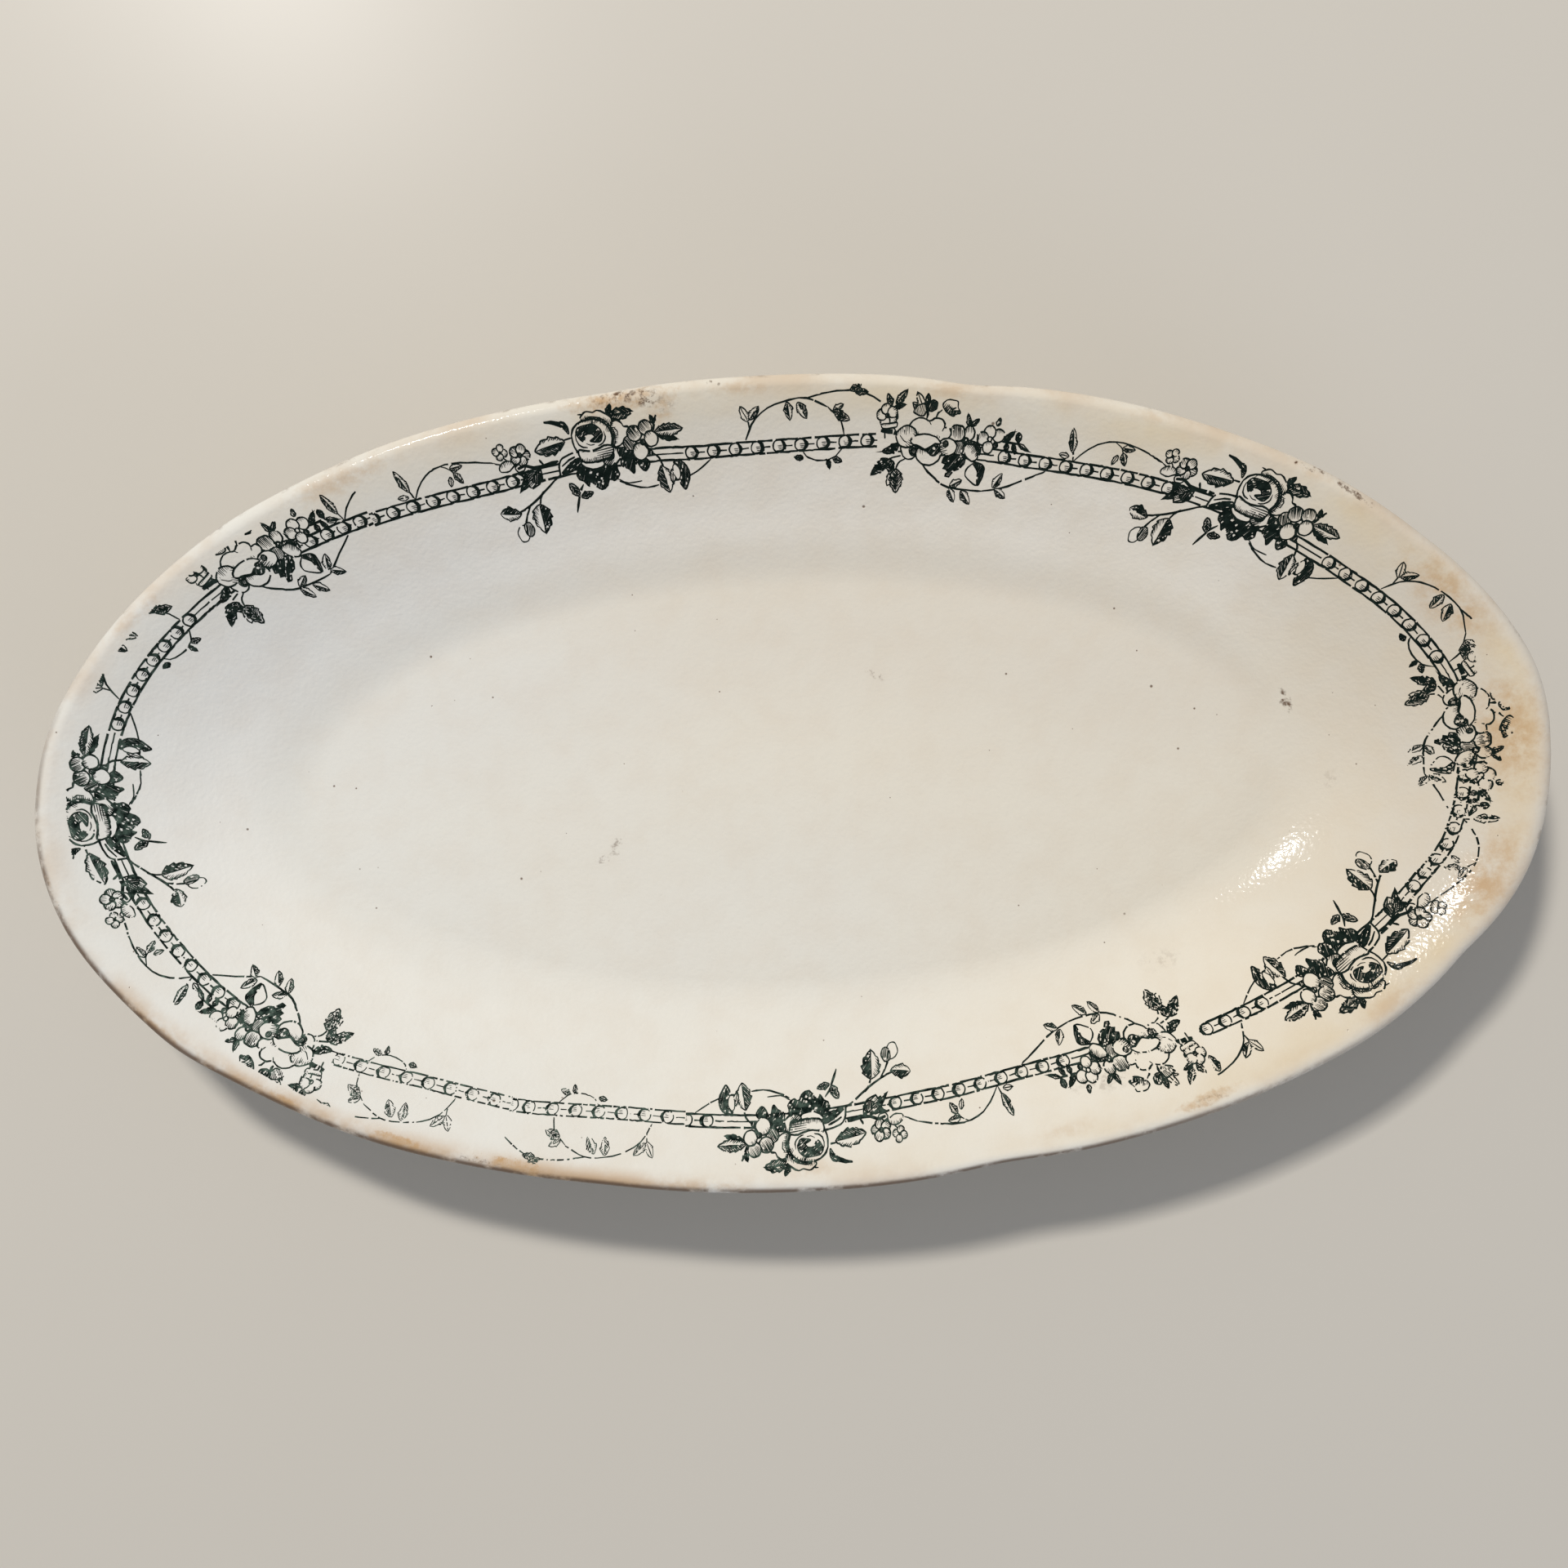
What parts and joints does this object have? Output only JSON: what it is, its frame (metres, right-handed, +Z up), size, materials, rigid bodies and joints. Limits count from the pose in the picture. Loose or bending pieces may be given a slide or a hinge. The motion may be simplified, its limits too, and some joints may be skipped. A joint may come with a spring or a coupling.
{
  "type": "china serving platter",
  "caption": "Long oval china serving dish with a softly lobed rim, sloping sides, a flat well, a foot ring and a dark flower transfer border.",
  "frame": {"origin": "under the middle of the platter, in the plane of its foot", "axes": "+X along the platter, +Y across it towards the back, +Z up"},
  "size_m": [0.2998, 0.1616, 0.032],
  "materials": {
    "glazed_body": "clear glaze over cream earthenware, stained tan along the rim",
    "transfer_print": "green-black ink print under clear glaze"
  },
  "bodies": {
    "root": {"platter_body": "glazed_body", "print_strip_right": "transfer_print", "print_strip_back": "transfer_print", "print_strip_left": "transfer_print", "print_filler_front_left": "transfer_print", "print_filler_front": "transfer_print", "print_strip_front": "transfer_print"}
  },
  "joints": []
}
